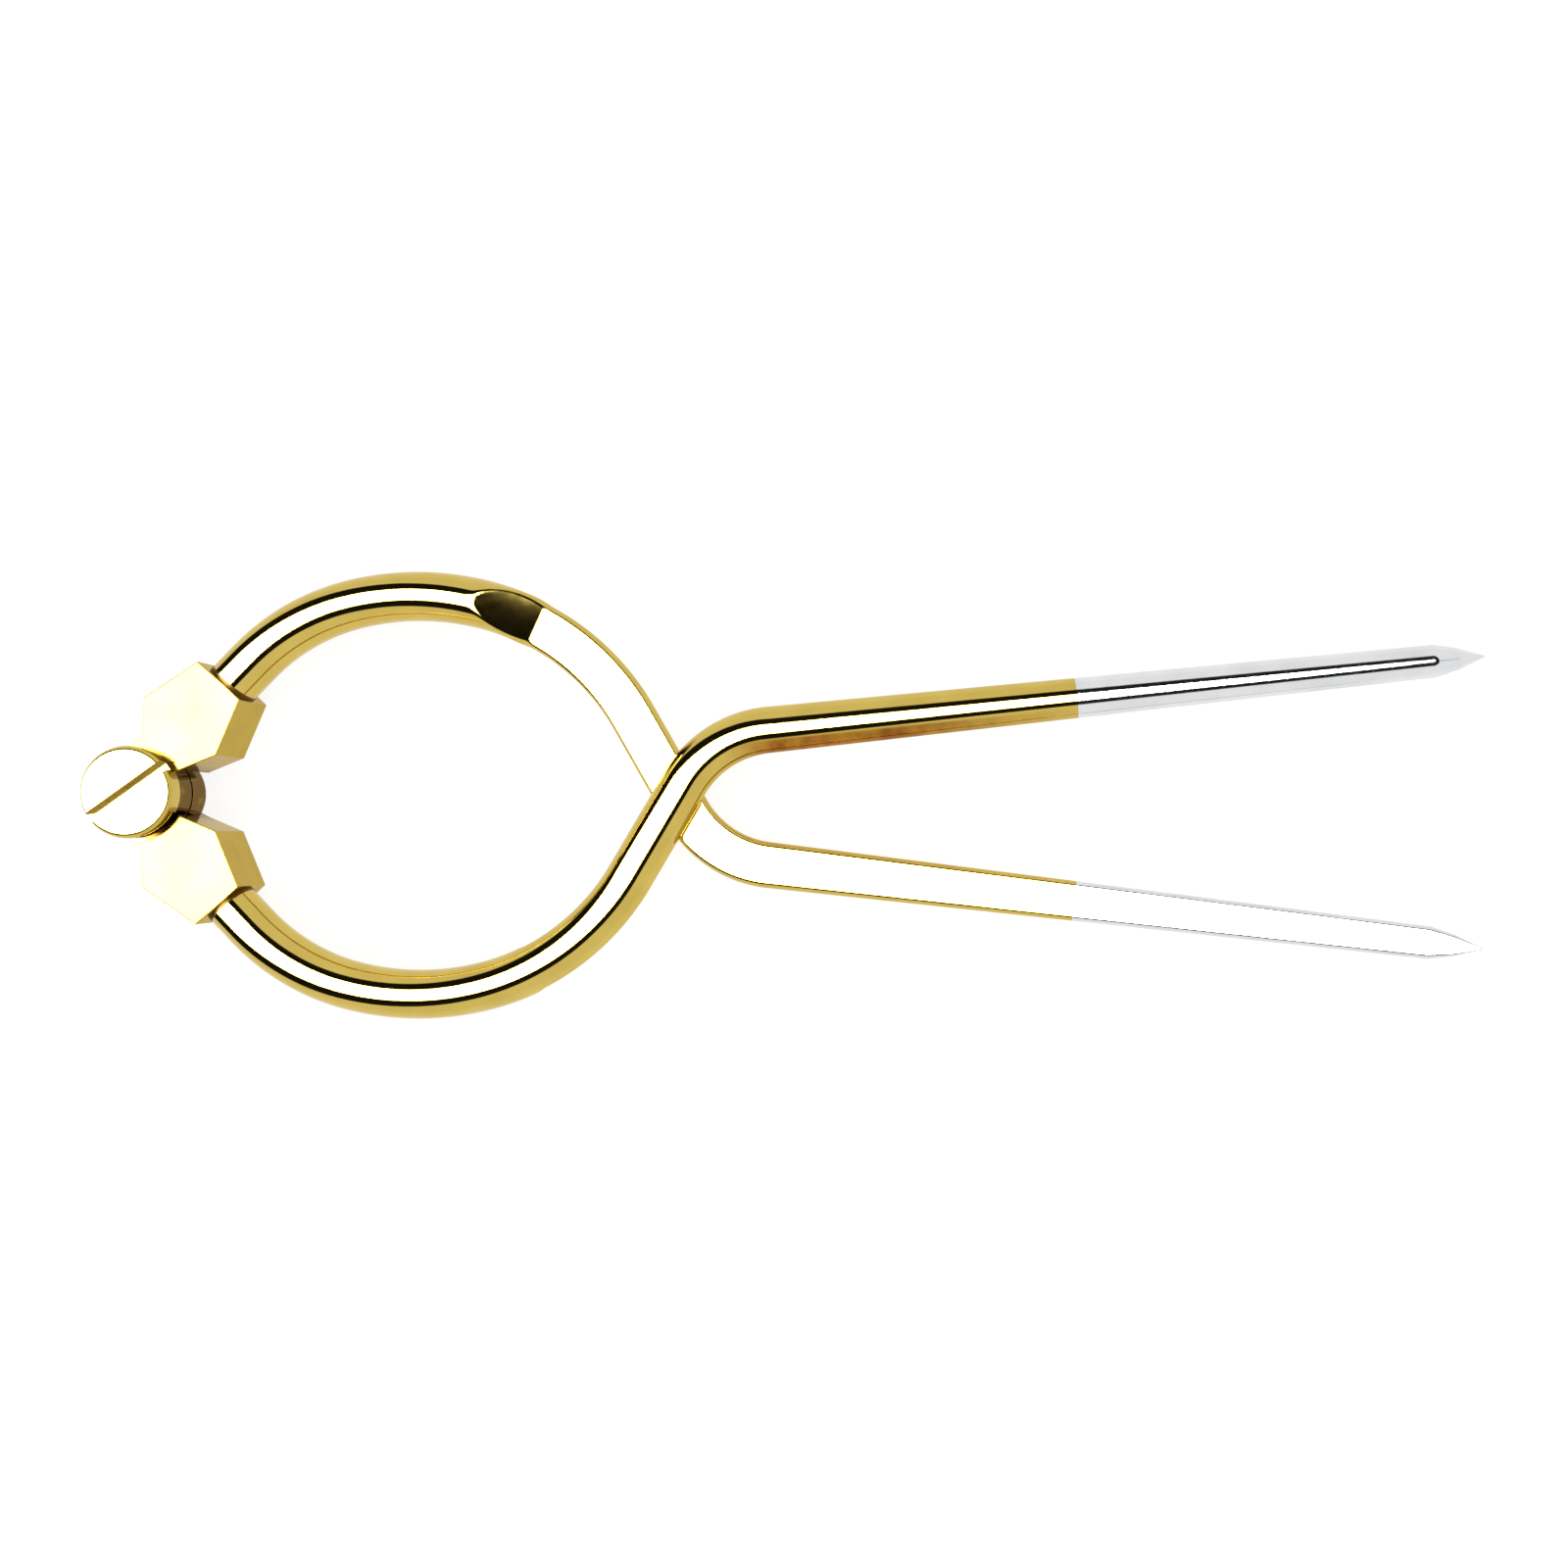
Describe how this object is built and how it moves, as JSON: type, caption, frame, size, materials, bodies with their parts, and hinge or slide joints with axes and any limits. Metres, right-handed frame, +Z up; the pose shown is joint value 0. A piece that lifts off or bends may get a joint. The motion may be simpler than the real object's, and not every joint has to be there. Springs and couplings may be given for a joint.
{
  "type": "single-handed chart dividers",
  "caption": "Brass bow dividers for one-handed chart work: two crossed arms on a screw pivot, squeezed at the round bow to open two steel points.",
  "frame": {"origin": "on the pivot axis, at the flat underside of the hinge where the screw end is filed flush", "axes": "+X along the tool from the hinge to the points, +Y across the tool, +Z up along the pivot axis towards the screw head"},
  "size_m": [0.1775, 0.0576, 0.0097],
  "materials": {
    "arm_brass": "polished",
    "block_brass": "polished",
    "screw_brass": "polished, turned head",
    "washer_brass": "satin",
    "point_steel": "polished"
  },
  "bodies": {
    "arm_a": {"hinge_block_a": "block_brass", "bow_arm_a": "arm_brass", "steel_point_a": "point_steel", "pivot_screw": "screw_brass", "friction_washer": "washer_brass", "lock_nut": "screw_brass"},
    "arm_b": {"hinge_block_b": "block_brass", "bow_arm_b": "arm_brass", "steel_point_b": "point_steel"}
  },
  "joints": [
    {"name": "pivot", "type": "hinge", "parent": "arm_a", "child": "arm_b", "pos_m": [0, 0, 0.0037], "axis": [0, 0, 1], "range_deg": [-38, 12.5]}
  ]
}
